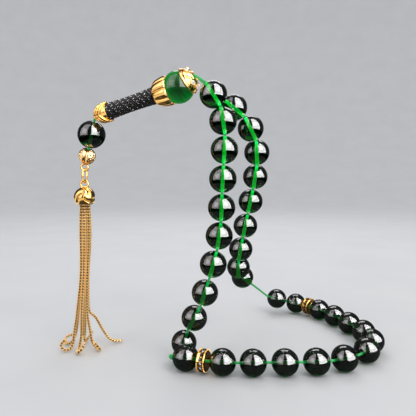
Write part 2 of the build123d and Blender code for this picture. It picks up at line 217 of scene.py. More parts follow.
def frame_at(origin, z_dir, x_dir=None):
    """4x4 of a local frame, origin in millimetres, for pieces built on the Z axis."""
    z = z_dir.normalized()
    x = x_dir if x_dir is not None else side_of(z)
    x = (x - z * x.dot(z)).normalized()
    y = z.cross(x)
    m = Matrix((x, y, z)).transposed().to_4x4()
    m.translation = origin * MM
    return m


# ======== mesh making
class Shell:
    """Vertices and faces collected from several parts, each face with a material number."""

    def __init__(self):
        self.verts = []
        self.faces = []
        self.slots = []
        self.count = 0

    def add(self, verts, faces, slot=0):
        verts = np.asarray(verts, float).reshape(-1, 3)
        self.verts.append(verts)
        self.faces.extend([tuple(i + self.count for i in f) for f in faces])
        if np.isscalar(slot):
            self.slots.extend([slot] * len(faces))
        else:
            self.slots.extend(slot)
        self.count += len(verts)
        return self


def mesh_data(name, shell, materials, flat=False):
    data = bpy.data.meshes.new(name)
    verts = np.concatenate(shell.verts) * MM
    data.from_pydata(verts.tolist(), [], shell.faces)
    for material in materials:
        data.materials.append(material)
    data.polygons.foreach_set("material_index", shell.slots)
    data.polygons.foreach_set("use_smooth", [not flat] * len(shell.faces))
    data.validate()
    data.update()
    return data


GOLD_PIECES = bpy.data.collections.new("gold_pieces")


def new_object(name, data):
    obj = bpy.data.objects.new(name, data)
    bpy.context.scene.collection.objects.link(obj)
    return obj


def piece(name, data, body, node, slot, matrix=None):
    """One shown piece: placed, riding its body, standing for its CAD node."""
    obj = new_object(name, data)
    if slot.startswith("gold"):
        GOLD_PIECES.objects.link(obj)
    if matrix is not None:
        obj.matrix_world = matrix
    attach(obj, body)
    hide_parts(node)


def shell_piece(name, shell, materials, body, node, slot, matrix=None, flat=False):
    piece(name, mesh_data(name, shell, materials, flat), body, node, slot, matrix)


def skin(rows, sides, closed=False, wrap=True):
    """Quads between neighbouring rows of points, closed round each row and, if asked, end to end."""
    faces = []
    for i in range(rows if closed else rows - 1):
        a, b = i * sides, ((i + 1) % rows) * sides
        for j in range(sides if wrap else sides - 1):
            k = (j + 1) % sides
            faces.append((a + j, a + k, b + k, b + j))
    return faces


def ring_faces(turns, sides):
    """The quads of a torus made turn by turn, facing outwards."""
    return [(a, d, c, b) for a, b, c, d in skin(turns, sides, closed=True)]


def end_caps(rows, sides):
    return [tuple(reversed(range(sides))), tuple(range((rows - 1) * sides, rows * sides))]


def lathe(outline, segments, shape=None, closed=True):
    """Turns (radius, height) points about Z. shape(theta, r, z) may move a point to a new (r, z)."""
    verts = []
    for r, z in outline:
        for j in range(segments):
            theta = TAU * j / segments
            rr, zz = shape(theta, r, z) if shape else (r, z)
            verts.append((rr * math.cos(theta), rr * math.sin(theta), zz))
    return np.array(verts), skin(len(outline), segments, closed)


def arc(radius, start, end, steps, centre=(0.0, 0.0)):
    """Points on a circle in the (radius, height) plane; angles in degrees from +Z."""
    points = []
    for i in range(steps + 1):
        a = math.radians(start + (end - start) * i / steps)
        points.append((centre[0] + radius * math.sin(a), centre[1] + radius * math.cos(a)))
    return points


def ball(radius, rings, segments):
    outline = arc(radius, 90 / rings, 180 - 90 / rings, rings - 1)
    verts, faces = lathe(outline, segments, closed=False)
    n = len(verts)
    verts = np.vstack([verts, [[0, 0, radius]], [[0, 0, -radius]]])
    last = (rings - 1) * segments
    for j in range(segments):
        k = (j + 1) % segments
        faces.append((n, j, k))
        faces.append((n + 1, last + k, last + j))
    return verts, faces


def torus(major, minor, turns=24, sides=10):
    verts = []
    for i in range(turns):
        a = TAU * i / turns
        for j in range(sides):
            b = TAU * j / sides
            r = major + minor * math.cos(b)
            verts.append((r * math.cos(a), r * math.sin(a), minor * math.sin(b)))
    return np.array(verts), ring_faces(turns, sides)


def ring(shell, part, count, spots, offset=0.0):
    """Adds a part at each spot, count times round Z, from a share of a step on."""
    for i in range(count):
        for spot in spots:
            place = turn_matrix(z=(i + offset) * 360 / count) @ Matrix.Translation(spot)
            shell.add(moved(part[0], place), part[1])


def moved(verts, matrix):
    m = np.array(matrix, float)
    return np.asarray(verts, float) @ m[:3, :3].T + m[:3, 3]


def turn_matrix(origin=(0, 0, 0), x=0.0, y=0.0, z=0.0):
    """Rz * Ry * Rx then a shift, in degrees and millimetres."""
    rotation = (Matrix.Rotation(math.radians(z), 4, "Z") @ Matrix.Rotation(math.radians(y), 4, "Y")
                @ Matrix.Rotation(math.radians(x), 4, "X"))
    return Matrix.Translation(Vector(origin)) @ rotation


def transport(points, first_side=(1, 0, 0), closed=False):
    """Frames carried along a path without twist: tangents, sides and ups."""
    p = np.asarray(points, float)
    tangent = np.roll(p, -1, 0) - np.roll(p, 1, 0)
    if not closed:
        tangent[0] = p[1] - p[0]
        tangent[-1] = p[-1] - p[-2]
    tangent /= np.linalg.norm(tangent, axis=1)[:, None]
    side = np.zeros_like(p)
    start = np.array(first_side, float)
    if abs(start @ tangent[0]) > 0.95:
        start = np.array((0.0, 1.0, 0.0))
    s = start - tangent[0] * (start @ tangent[0])
    for i in range(len(p)):
        s = s - tangent[i] * (s @ tangent[i])
        s = s / np.linalg.norm(s)
        side[i] = s
    return tangent, side, np.cross(tangent, side)


def sweep(points, section, first_side=(1, 0, 0), closed=False):
    """Skins section(i) -> (sides, 2) array of offsets along a path. Open ends are capped."""
    _, side, up = transport(points, first_side, closed)
    p = np.asarray(points, float)
    rows = []
    for i in range(len(p)):
        s = section(i)
        rows.append(p[i] + s[:, :1] * side[i] + s[:, 1:] * up[i])
    sides = len(rows[0])
    caps = [] if closed else end_caps(len(p), sides)
    return np.concatenate(rows), skin(len(p), sides, closed) + caps


def round_section(radius, sides=10):
    a = TAU * np.arange(sides) / sides
    s = np.stack([np.cos(a), np.sin(a)], 1) * radius
    return lambda i: s


def smooth_path(points, samples):
    """Natural cubic spline through points by chord length, sampled evenly along its length."""
    p = np.asarray(points, float)
    t = np.concatenate([[0], np.cumsum(np.linalg.norm(np.diff(p, axis=0), axis=1))])
    n = len(p)
    h = np.diff(t)
    a = np.eye(n)
    rhs = np.zeros((n, 3))
    for i in range(1, n - 1):
        a[i, i - 1], a[i, i], a[i, i + 1] = h[i - 1], 2 * (h[i - 1] + h[i]), h[i]
        rhs[i] = 6 * ((p[i + 1] - p[i]) / h[i] - (p[i] - p[i - 1]) / h[i - 1])
    m = np.linalg.solve(a, rhs)
    fine = np.linspace(0, t[-1], 40 * n)
    k = np.clip(np.searchsorted(t, fine, side="right") - 1, 0, n - 2)
    d1 = (t[k + 1] - fine)[:, None]
    d0 = (fine - t[k])[:, None]
    hk = h[k][:, None]
    q = (m[k] * d1**3 + m[k + 1] * d0**3) / (6 * hk)
    q += (p[k] / hk - m[k] * hk / 6) * d1 + (p[k + 1] / hk - m[k + 1] * hk / 6) * d0
    return even(q, samples)


def even(path, samples=None, step=None):
    """A path resampled at equal lengths."""
    q = np.asarray(path, float)
    s = np.concatenate([[0], np.cumsum(np.linalg.norm(np.diff(q, axis=0), axis=1))])
    if samples is None:
        samples = max(2, int(round(s[-1] / step)) + 1)
    want = np.linspace(0, s[-1], samples)
    return np.stack([np.interp(want, s, q[:, c]) for c in range(3)], 1)


# ======== materials
def node_material(name):
    material = bpy.data.materials.new(name)
    material.use_nodes = True
    tree = material.node_tree
    shader = tree.nodes["Principled BSDF"]
    return material, tree, shader


def set_inputs(node, values):
    for name, value in values.items():
        node.inputs[name].default_value = value


def cloud_noise(tree, scale, detail=2.0, stretch=(1, 1, 1)):
    """Procedural noise on object coordinates, in cycles per millimetre."""
    coords = tree.nodes.new("ShaderNodeTexCoord")
    mapping = tree.nodes.new("ShaderNodeMapping")
    cloud = tree.nodes.new("ShaderNodeTexNoise")
    tree.links.new(coords.outputs["Object"], mapping.inputs["Vector"])
    tree.links.new(mapping.outputs["Vector"], cloud.inputs["Vector"])
    set_inputs(mapping, {"Scale": [scale / MM * factor for factor in stretch]})
    set_inputs(cloud, {"Scale": 1.0, "Detail": detail})
    return cloud.outputs["Fac"]


def ramp(tree, source, stops):
    """A colour ramp; stops are (position, colour) pairs."""
    node = tree.nodes.new("ShaderNodeValToRGB")
    elements = node.color_ramp.elements
    elements[0].position, elements[0].color = stops[0][0], (*stops[0][1], 1)
    elements[1].position, elements[1].color = stops[-1][0], (*stops[-1][1], 1)
    for position, colour in stops[1:-1]:
        e = elements.new(position)
        e.color = (*colour, 1)
    tree.links.new(source, node.inputs["Fac"])
    return node.outputs["Color"]


def span(tree, source, low, high):
    node = tree.nodes.new("ShaderNodeMapRange")
    node.inputs["To Min"].default_value = low
    node.inputs["To Max"].default_value = high
    tree.links.new(source, node.inputs["Value"])
    return node.outputs["Result"]


def bump(tree, shader, height, strength, distance):
    node = tree.nodes.new("ShaderNodeBump")
    node.inputs["Strength"].default_value = strength
    node.inputs["Distance"].default_value = distance * MM
    tree.links.new(height, node.inputs["Height"])
    tree.links.new(node.outputs["Normal"], shader.inputs["Normal"])


def mottled(name, scale, detail, low, high):
    """A material whose colour drifts between two (position, colour) tones."""
    material, tree, shader = node_material(name)
    cloud = cloud_noise(tree, scale, detail)
    tone = ramp(tree, cloud, [low, high])
    tree.links.new(tone, shader.inputs["Base Color"])
    return material, tree, shader, cloud, tone


def make_gold(name, bright, dark, roughness, grain=0.4, grain_depth=0.01, strength=0.25, glow=0.0):
    material, tree, shader, _, tone = mottled(name, 0.35, 3, (0.35, dark), (0.65, bright))
    fine = cloud_noise(tree, grain, 4)
    # Emission in the gold's own tones, at strength glow, is a painted glow; of the golds only the chain has
    # one.
    tree.links.new(tone, shader.inputs["Emission Color"])
    tree.links.new(span(tree, fine, roughness * 0.6, roughness * 1.5), shader.inputs["Roughness"])
    set_inputs(shader, {"Emission Strength": glow, "Metallic": 1.0})
    bump(tree, shader, fine, strength, grain_depth)
    return material


def math_node(tree, operation, a, b):
    node = tree.nodes.new("ShaderNodeMath")
    node.operation = operation
    for socket, value in zip(node.inputs, (a, b)):
        if isinstance(value, (int, float)):
            socket.default_value = value
        else:
            tree.links.new(value, socket)
    return node.outputs["Value"]


def reflected(tree):
    """1 for rays that reach a surface by way of a polished or clear one."""
    path = tree.nodes.new("ShaderNodeLightPath")
    return math_node(tree, "MAXIMUM", path.outputs["Is Glossy Ray"], path.outputs["Is Transmission Ray"])


def mix_surface(tree, share, first, second):
    """Shows the second shader in place of the first, by a share."""
    mix = tree.nodes.new("ShaderNodeMixShader")
    for socket, source in zip(mix.inputs, (share, first.outputs["BSDF"], second.outputs["BSDF"])):
        tree.links.new(source, socket)
    tree.links.new(mix.outputs["Shader"], tree.nodes["Material Output"].inputs["Surface"])


def make_green_glass():
    """Near-black green: a clear polished surface over a strongly absorbing body, open at the bore."""
    material, tree, shader = node_material("bead_green_glass")
    set_inputs(shader, {"Base Color": (1, 1, 1, 1), "Transmission Weight": 1.0, "IOR": 1.52,
                        "Coat Weight": 1.0, "Coat IOR": 1.95, "Coat Roughness": 0.015})
    tree.links.new(span(tree, cloud_noise(tree, 0.5, 3), 0.0, 0.035), shader.inputs["Roughness"])
    coords = tree.nodes.new("ShaderNodeTexCoord")
    flat = tree.nodes.new("ShaderNodeVectorMath")
    flat.operation = "MULTIPLY"
    flat.inputs[1].default_value = (1, 1, 0)
    tree.links.new(coords.outputs["Object"], flat.inputs[0])
    length = tree.nodes.new("ShaderNodeVectorMath")
    length.operation = "LENGTH"
    tree.links.new(flat.outputs["Vector"], length.inputs[0])
    in_bore = math_node(tree, "LESS_THAN", length.outputs["Value"], (BORE_R + BORE_CLEAR) * MM)
    mix_surface(tree, in_bore, shader, tree.nodes.new("ShaderNodeBsdfTransparent"))
    body = tree.nodes.new("ShaderNodeVolumeAbsorption")
    set_inputs(body, {"Color": (0.0, 0.70, 0.40, 1), "Density": 1150.0})
    tree.links.new(body.outputs["Volume"], tree.nodes["Material Output"].inputs["Volume"])
    return material


def make_head_green():
    """Bright cat's-eye green: silky fibres under a clear polish, with a painted rim sheen that makes it paler
    at the edge, and a painted glow.
    """
    material, tree, shader = node_material("head_green")
    silk = cloud_noise(tree, 0.3, 4, (1, 1, 7))
    # Painted sheen: the Facing term lightens the colour where the surface turns from view; the stretched
    # noise is the fibre pattern.
    layer = tree.nodes.new("ShaderNodeLayerWeight")
    layer.inputs["Blend"].default_value = 0.35
    fibre_and_rim_sheen = tree.nodes.new("ShaderNodeMath")
    fibre_and_rim_sheen.operation = "MULTIPLY_ADD"
    tree.links.new(silk, fibre_and_rim_sheen.inputs[0])
    fibre_and_rim_sheen.inputs[1].default_value = 0.45
    tree.links.new(layer.outputs["Facing"], fibre_and_rim_sheen.inputs[2])
    colour = ramp(tree, fibre_and_rim_sheen.outputs["Value"], [
        (0.15, (0.0, 0.02, 0.002)), (0.5, (0.0, 0.12, 0.012)), (0.95, (0.0, 0.30, 0.03))])
    tree.links.new(colour, shader.inputs["Base Color"])
    tree.links.new(colour, shader.inputs["Emission Color"])
    # The emission in the bead's own colour is a painted glow.
    set_inputs(shader, {"Subsurface Weight": 0.2, "Subsurface Radius": (0.1, 1.0, 0.35),
                        "Subsurface Scale": 2.5 * MM, "Roughness": 0.4, "Specular IOR Level": 0.15,
                        "Coat Weight": 1.0, "Coat IOR": 1.6, "Coat Roughness": 0.01,
                        "Emission Strength": 0.6})
    return material


def make_cord_green(name, glow, painted_height_shade=False):
    """Satin braid with a painted glow. Where asked, the glow is painted dimmer towards the table, as painted
    shade.
    """
    material, tree, shader, fibre, tone = mottled(
        name, 2.2, 3, (0.3, (0.0, 0.22, 0.035)), (0.7, (0.0, 0.58, 0.11)))
    tree.links.new(tone, shader.inputs["Emission Color"])
    set_inputs(shader, {"Emission Strength": glow, "Roughness": 0.38, "Sheen Weight": 0.3})
    if painted_height_shade:
        # Painted shade by height: the glow drops from full at 80 mm to a twenty-fifth of it at 8 mm.
        place = tree.nodes.new("ShaderNodeTexCoord")
        parts = tree.nodes.new("ShaderNodeSeparateXYZ")
        height = tree.nodes.new("ShaderNodeMapRange")
        set_inputs(height, {"From Min": 8 * MM, "From Max": 80 * MM, "To Min": glow * 0.04, "To Max": glow})
        tree.links.new(place.outputs["Object"], parts.inputs["Vector"])
        tree.links.new(parts.outputs["Z"], height.inputs["Value"])
        tree.links.new(height.outputs["Result"], shader.inputs["Emission Strength"])
    bump(tree, shader, fibre, 0.4, 0.03)
    return material


def make_crystal():
    material, _, shader, _, _ = mottled("crystal_clear", 0.8, 2, (0.3, (0.88, 0.92, 0.96)), (0.7, (1, 1, 1)))
    # The white emission is a painted glow on the crystals.
    set_inputs(shader, {"Transmission Weight": 0.6, "Emission Color": (1, 1, 1, 1), "Emission Strength": 0.22,
                        "IOR": 2.0, "Roughness": 0.02})
    return material


def make_dark_gem():
    material, _, shader, _, _ = mottled(
        "gem_dark", 1.2, 2, (0.3, (0.004, 0.005, 0.006)), (0.7, (0.03, 0.032, 0.036)))
    set_inputs(shader, {"IOR": 1.9, "Roughness": 0.05})
    return material


def make_thread(name, dark, bright, metallic, roughness):
    material, tree, shader, fibre, _ = mottled(name, 3.0, 3, (0.35, dark), (0.65, bright))
    sheen = 0.0 if metallic else 0.08
    set_inputs(shader, {"Metallic": metallic, "Roughness": roughness, "Sheen Weight": sheen})
    bump(tree, shader, fibre, 0.6, 0.04)
    return material


def make_tube_plastic():
    material, tree, shader, cloud, _ = mottled(
        "tube_plastic", 0.6, 3, (0.3, (0.02, 0.02, 0.022)), (0.7, (0.05, 0.05, 0.055)))
    set_inputs(shader, {"Roughness": 0.5})
    bump(tree, shader, cloud, 0.3, 0.05)
    return material


GOLD = make_gold("gold_polished", (0.93, 0.60, 0.21), (0.82, 0.47, 0.13), 0.14)
# The chain gold is a brighter, paler copy of the polished gold with a painted glow: painted light, not a
# different alloy.
GOLD_CHAIN = make_gold("gold_chain", (1.0, 0.74, 0.36), (0.95, 0.62, 0.24), 0.32, 1.6, 0.01, glow=0.18)
GOLD_STARDUST = make_gold(
    "gold_stardust", (1.0, 0.74, 0.40), (0.95, 0.62, 0.28), 0.2, 2.6, 0.05, strength=0.6)
# Near-black brown for the rod inside each chain: painted shade between the links.
GOLD_PAINTED_SHADE = make_gold("gold_painted_shade", (0.12, 0.045, 0.01), (0.07, 0.025, 0.006), 0.5)
GREEN_GLASS = make_green_glass()
HEAD_GREEN = make_head_green()
# Both cord materials glow with painted light: faintly in the open, strongly inside the beads, where the glow
# is painted dimmer towards the table.
CORD_OPEN = make_cord_green("cord_green", 0.3)
CORD_INSIDE_GLOW = make_cord_green("cord_green_inside_glow", 5.0, painted_height_shade=True)
CRYSTAL = make_crystal()
DARK_GEM = make_dark_gem()
BLACK_THREAD = make_thread("thread_black", (0.001, 0.001, 0.001), (0.006, 0.006, 0.007), 0.0, 0.42)
SILVER_THREAD = make_thread("thread_silver", (0.03, 0.03, 0.03), (0.95, 0.93, 0.9), 1.0, 0.22)
TUBE_PLASTIC = make_tube_plastic()


# ======== beads
def drilled_outline(radius, seat=None):
    """Closed outline of a drilled ball: bore, countersunk mouth, sphere, mouth. seat is a cup at the top."""
    mouth = math.degrees(math.asin(MOUTH_R / radius))
    half = math.sqrt(radius**2 - BORE_R**2)
    bottom = [(BORE_R, 0), (BORE_R, -half + MOUTH_DEPTH + 0.3), (BORE_R, -half + MOUTH_DEPTH),
              (BORE_R + 0.1, -half + MOUTH_DEPTH - 0.15), (MOUTH_R - 0.12, -half + 0.14)]
    if seat is None:
        sphere = arc(radius, 180 - mouth, mouth, 44)
        top = [(r, -z) for r, z in reversed(bottom[1:])]
    else:
        edge = math.degrees(math.asin(seat[1] * 0.985 / radius))
        sphere = arc(radius, 180 - mouth, edge, 44)
        deep = 180 - math.degrees(math.asin(BORE_R / seat[1]))
        top = arc(seat[1], 94, deep, 8, (0, seat[0]))
    return bottom + sphere + top


def bead_mesh(name, radius, material, seat=None):
    verts, faces = lathe(drilled_outline(radius, seat), 64)
    return mesh_data(name, Shell().add(verts, faces), [material])


def bead_place(name):
    """Centre and bore direction of a bead or divider."""
    joint = JOINT[name]
    if "pos_m" in joint:
        return joint_point(name), joint_axis(name)
    low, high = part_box(name)
    return (low + high) / 2 / MM, -joint_axis(name)


BEAD_NAMES = sorted(n for n in frame["nodes"] if n.startswith("bead_"))
PLACES = {name: bead_place(name) for name in BEAD_NAMES + ["divider_1", "divider_2"]}


def build_beads():
    data = bead_mesh("bead_mesh", BEAD_R, GREEN_GLASS)
    for name in BEAD_NAMES:
        centre, axis = PLACES[name]
        piece(name + "_glass", data, name, name, "bead_green", frame_at(centre, axis))
    drop = bead_mesh("drop_mesh", DROP_R, GREEN_GLASS)
    head = bead_mesh("head_mesh", HEAD_R, HEAD_GREEN, (KNOT_AT, KNOT_SEAT_R))
    for name, data, slot in (("drop_bead", drop, "bead_green"), ("head_bead", head, "head_green")):
        piece(name + "_glass", data, name, name, slot, frame_at(joint_point(name), joint_axis(name)))


# ======== cord
HEAD = joint_point("crown")
CROWN_DIR = joint_axis("crown")
IMAME_DIR = joint_axis("imame")
CLAM = joint_point("clamshell")
PENDANT_UP = joint_axis("clamshell")
DROP = joint_point("drop_bead")
EYE = joint_point("oval_link")
LINK_FOOT = joint_point("tassel")
CAP_EYE = LINK_FOOT - Vector((0, 0, CAP_EYE_R - CAP_EYE_WIRE_R - LINK_WIRE_R - FIT + LINK_HALF_WIDTH))


def meeting(first, second):
    """The corner shared by the bores of two neighbours."""
    (p, u), (q, v) = PLACES[first], PLACES[second]
    across = u.cross(v)
    if across.length < 0.02:
        return (p + q) / 2
    gap = q - p
    s = gap.cross(v).dot(across) / across.length_squared
    t = gap.cross(u).dot(across) / across.length_squared
    return ((p + u * s) + (q + v * t)) / 2


def end_of(name, half):
    centre, axis = PLACES[name]
    return centre + axis * half


def run_corners(names, half_start, half_end):
    """Cord corners along a run of touching beads, from its first mouth to its last."""
    corners = [end_of(names[0], -half_start)]
    corners += [meeting(a, b) for a, b in zip(names, names[1:])]
    return corners + [end_of(names[-1], half_end)]


# corners of the cord between the hanging run and the run on the table
SLACK = [(-17.44, -25.05, 0.91), (-18.61, -26.8, 1.54), (-19.63, -28.26, 2.83), (-19.8, -29.91, 4.28)]


def loop_corners():
    n = BEAD_NAMES
    slack = [Vector(p) for p in SLACK]
    front = run_corners(n[:10], HALF_HANG, HALF_LAST_HANG)
    low = run_corners([n[10], "divider_1"] + n[11:16], HALF_SNUG, HALF_TABLE)
    right = run_corners(n[16:22] + ["divider_2"] + n[22:24], HALF_TABLE, HALF_TABLE)
    back = run_corners(n[24:], HALF_SNUG, HALF_SNUG)
    return front + slack + low + right + back


def rounded(corners):
    """Straight runs with their corners eased, as points."""
    points = [np.array(corners[0])]
    for before, corner, after in zip(corners, corners[1:], corners[2:]):
        incoming, outgoing = corner - before, after - corner
        reach = min(CORD_BEND, 0.42 * incoming.length, 0.42 * outgoing.length)
        start = corner - incoming.normalized() * reach
        end = corner + outgoing.normalized() * reach
        for i in range(7):
            t = i / 6
            points.append(np.array(start * (1 - t) ** 2 + corner * 2 * t * (1 - t) + end * t * t))
    points.append(np.array(corners[-1]))
    return np.array(points)


def twisted_section(radius, step):
    """A round cord of a few twisted strands."""
    a = TAU * np.arange(CORD_SIDES) / CORD_SIDES

    def section(i):
        twist = CORD_TWIST * i * step
        r = radius * (0.93 + 0.07 * np.cos(CORD_LOBES * (a - twist)))
        return np.stack([np.cos(a) * r, np.sin(a) * r], 1)
    return section


def glow_slots(path):
    """Material number of each skin face: 1 inside a bead, where the cord gets a strong painted glow, 0 in the
    open, where its painted glow is faint.
    """
    centres = np.array([PLACES[n][0] for n in BEAD_NAMES])
    slots = []
    for i in range(len(path) - 1):
        middle = (path[i] + path[i + 1]) / 2
        inside = bool((np.linalg.norm(centres - middle, axis=1) < BEAD_R - 0.25).any())
        slots += [int(inside)] * CORD_SIDES
    return slots + [0, 0]


def knot(centre, radius):
    """An overhand knot: the cord wound on itself."""
    t = TAU * np.arange(60) / 60
    wire = 0.36 * radius
    size = (radius - wire) / 3
    path = np.stack([np.sin(t) + 2 * np.sin(2 * t), np.cos(t) - 2 * np.cos(2 * t), -np.sin(3 * t) * 1.3], 1)
    verts, faces = sweep(path * size, round_section(wire), closed=True)
    return verts + np.array(centre), faces


def build_cord():
    lean = side_of(CROWN_DIR) * CORD_SPREAD
    knot_at = HEAD + CROWN_DIR * KNOT_AT
    exit_at = HEAD + CROWN_DIR * (CROWN_TOP + 0.7)
    loop = [knot_at + lean, exit_at + lean] + loop_corners() + [exit_at - lean, knot_at - lean]
    tail = [
        knot_at,
        HEAD - CROWN_DIR * (HEAD_R + 0.3),
        HEAD + IMAME_DIR * (TUBE_START_AT - 0.3),
        HEAD + IMAME_DIR * (TIP_AT + 0.4),
        DROP + PENDANT_UP * (DROP_R + 0.5),
        CLAM,
    ]
    shell = Shell()
    for corners in (loop, tail):
        path = even(rounded(corners), step=CORD_STEP)
        verts, faces = sweep(path, twisted_section(CORD_R, CORD_STEP))
        shell.add(verts, faces, glow_slots(path))
    shell.add(*knot(knot_at, KNOT_R))
    shell.add(*knot(CLAM, CLAM_KNOT_R))
    shell_piece("cord_twisted", shell, [CORD_OPEN, CORD_INSIDE_GLOW], "strand", "cord", "cord")


# ======== dividers
def square_gem(half, depth, height):
    """A square stone with a table: a girdle, a crown and a pavilion, growing along +X."""
    girdle = [(0, half, 0), (0, 0, half), (0, -half, 0), (0, 0, -half)]
    table = [(height, y * GEM_TABLE, z * GEM_TABLE) for _, y, z in girdle]
    verts = np.array(girdle + table + [(-depth, 0, 0)])
    faces = [(4, 5, 6, 7)]
    for i in range(4):
        j = (i + 1) % 4
        faces += [(i, j, 4 + j, 4 + i), (j, i, 8)]
    return verts, faces


def build_divider(number):
    body = f"divider_{number}"
    place = frame_at(*PLACES[body])
    band = DIVIDER_BAND_R
    edge = DIVIDER_HALF
    outline = [(BORE_R, -edge + 0.5), (1.2, -edge + 0.25), (band - 0.8, -edge + 0.02),
               (band - 0.1, -edge + 0.1), (band, -edge + 0.3), (band, -edge + 0.62),
               (band - 0.12, -edge + 0.66)]
    outline += [(r, -z) for r, z in reversed(outline)]
    gold = Shell().add(*lathe(outline, 84))
    milgrain = ball(MILGRAIN_R, rings=5, segments=8)
    claw = ball(CLAW_R, rings=4, segments=7)
    gem = square_gem(DIVIDER_STONE * 0.69, GEM_DEPTH, GEM_HEIGHT)
    ring(gold, milgrain, MILGRAIN, [(band + 0.1, 0, edge - 0.3), (band + 0.1, 0, 0.3 - edge)])
    stones = Shell()
    ring(stones, gem, DIVIDER_STONES, [(band - GEM_SINK, 0, 0)])
    ring(gold, claw, DIVIDER_STONES, [(band - GEM_SINK, 0, CLAW_AT), (band - GEM_SINK, 0, -CLAW_AT)], 0.5)
    shell_piece(body + "_gold", gold, [GOLD], body, body, "gold", place)
    shell_piece(body + "_gems", stones, [DARK_GEM], body, body + "_stones", "dark_stone", place, flat=True)


# ======== crown
def brilliant(radius):
    """A round brilliant: table, star and kite facets, girdle, pavilion."""
    n = 8
    tiers = ((0.55, 0.62, 0.5), (0.86, 0.40, 0.0), (1.0, 0.14, 0.5), (1.0, 0.02, 0.5), (0.5, -0.36, 0.5))
    verts = []
    for rr, z, turn in tiers:
        for i in range(n):
            a = TAU * (i + turn) / n
            verts.append((radius * rr * math.cos(a), radius * rr * math.sin(a), radius * z))
    verts.append((0, 0, -0.6 * radius))
    t, k, g, h, p = (n * i for i in range(5))
    faces = [tuple(t + i for i in range(n))]
    for i in range(n):
        j = (i + 1) % n
        faces += [
            (t + i, k + j, t + j),
            (t + i, k + i, g + i),
            (t + i, g + i, k + j),
            (k + j, g + i, g + j),
            (g + i, h + i, h + j, g + j),
            (h + i, p + i, p + j, h + j),
            (p + i, 5 * n, p + j),
        ]
    return np.array(verts), faces


def head_seat(low_at, high_at, steps):
    radius = HEAD_R + FIT
    low = math.degrees(math.acos(low_at / radius))
    high = math.degrees(math.acos(high_at / radius))
    return arc(radius, low, high, steps)


def build_crown():
    place = frame_at(HEAD, CROWN_DIR)
    mouth_at = math.sqrt((HEAD_R + FIT) ** 2 - CROWN_MOUTH_R**2)
    top, mouth, rim = CROWN_TOP, CROWN_MOUTH_R, CROWN_RIM_R
    outer = [
        (mouth, top + 0.1), (mouth + 0.1, top + 0.25), (mouth + 0.4, top + 0.27), (mouth + 0.65, top + 0.12),
        (mouth + 0.8, top - 0.12), (2.8, top - 0.2), (3.3, top - 0.42), (3.9, top - 0.8), (4.4, top - 1.25),
        (4.8, top - 1.8), (5.0, top - 2.2), (5.05, top - 2.5), (rim - 0.1, top - 2.62), (rim, top - 2.8),
        (rim, CROWN_RIM_AT + 0.2), (rim - 0.15, CROWN_RIM_AT),
    ]

    def scalloped(theta, r, z):
        """Presses the slope in between the stones."""
        slope = max(0.0, 1 - abs(r - 4.0) / 1.1)
        press = CROWN_PRESS * slope * (0.5 - 0.5 * math.cos(CRYSTALS * theta))
        return r - press * 0.6, z - press * 0.5

    gold = Shell().add(*lathe(head_seat(CROWN_RIM_AT, mouth_at, 14) + outer, 128, scalloped))
    bezel = torus(CRYSTAL_R + 0.03, BEZEL_WIRE, 28, 8)
    claw = ball(CROWN_CLAW_R, rings=5, segments=8)
    gem = brilliant(CRYSTAL_R * 0.97)
    gems = Shell()
    for i in range(CRYSTALS):
        lean = turn_matrix((CRYSTAL_RING_R, 0, top - CRYSTAL_DROP), y=CRYSTAL_LEAN)
        seat = turn_matrix(z=i * 360 / CRYSTALS) @ lean
        gems.add(moved(gem[0], seat @ Matrix.Translation((0, 0, 0.3))), gem[1])
        gold.add(moved(bezel[0], seat @ Matrix.Translation((0, 0, 0.34))), bezel[1])
    ring(gold, claw, CRYSTALS, [(4.35, 0, top - 1.32), (3.1, 0, top - 0.37)], 0.5)
    ring(gold, claw, CROWN_GRAINS, [(rim - 0.12, 0, CROWN_RIM_AT + 0.32)])
    shell_piece("crown_gold", gold, [GOLD], "crown", "crown_cap", "gold", place)
    shell_piece("crown_brilliants", gems, [CRYSTAL], "crown", "crown_crystals", "crystal", place, flat=True)


# ======== imame
def build_tulip():
    neck = SLEEVE_R + 0.25
    length = TULIP_END_AT - TULIP_RIM_AT
    outer = []
    for i in range(TULIP_STEPS + 1):
        t = i / TULIP_STEPS
        pillow = TULIP_PILLOW * (1 - abs(2 * t - 1) ** 3)
        ease = TULIP_EASE * (1 - min(1.0, t / 0.12, (1 - t) / 0.12)) ** 2
        outer.append((TULIP_R - 0.3 - TULIP_TAPER * t**1.5 + pillow - ease, TULIP_RIM_AT + length * t))
    floor_at = TULIP_END_AT - SLEEVE_TUCK
    inner = [(neck, TULIP_END_AT), (neck, floor_at), (TUBE_HOLE_R, floor_at), (TUBE_HOLE_R, floor_at - 0.55),
             (3.6, floor_at - 0.55)]
    seat = list(reversed(head_seat(TULIP_RIM_AT, 4.6, 8)))
    petals = set(outer)

    def fluted(theta, r, z):
        """Full round petals with sharp valleys between them."""
        if (r, z) not in petals:
            return r, z
        t = (z - TULIP_RIM_AT) / length
        fade = min(1.0, 0.35 + t / 0.25, 0.25 + (1 - t) / 0.2)
        off_ridge = 2 * abs((TULIP_LOBES * theta / TAU) % 1.0 - 0.5)
        petal = math.sqrt(1 - 0.97 * off_ridge**2)
        return max(r - fade * TULIP_VALLEY * (1 - petal), neck + 0.2), z

    gold = Shell().add(*lathe(outer + inner + seat, 176, fluted))
    shell_piece("tulip_gold", gold, [GOLD], "imame", "tulip_cap", "gold", frame_at(HEAD, IMAME_DIR))


def sleeve_radius(t):
    return SLEEVE_R - (SLEEVE_R - SLEEVE_WAIST_R) * math.sin(math.pi * t)


def ellipse(half_x, half_y, sides):
    a = TAU * np.arange(sides) / sides
    return np.stack([half_x * np.cos(a), half_y * np.sin(a)], 1)


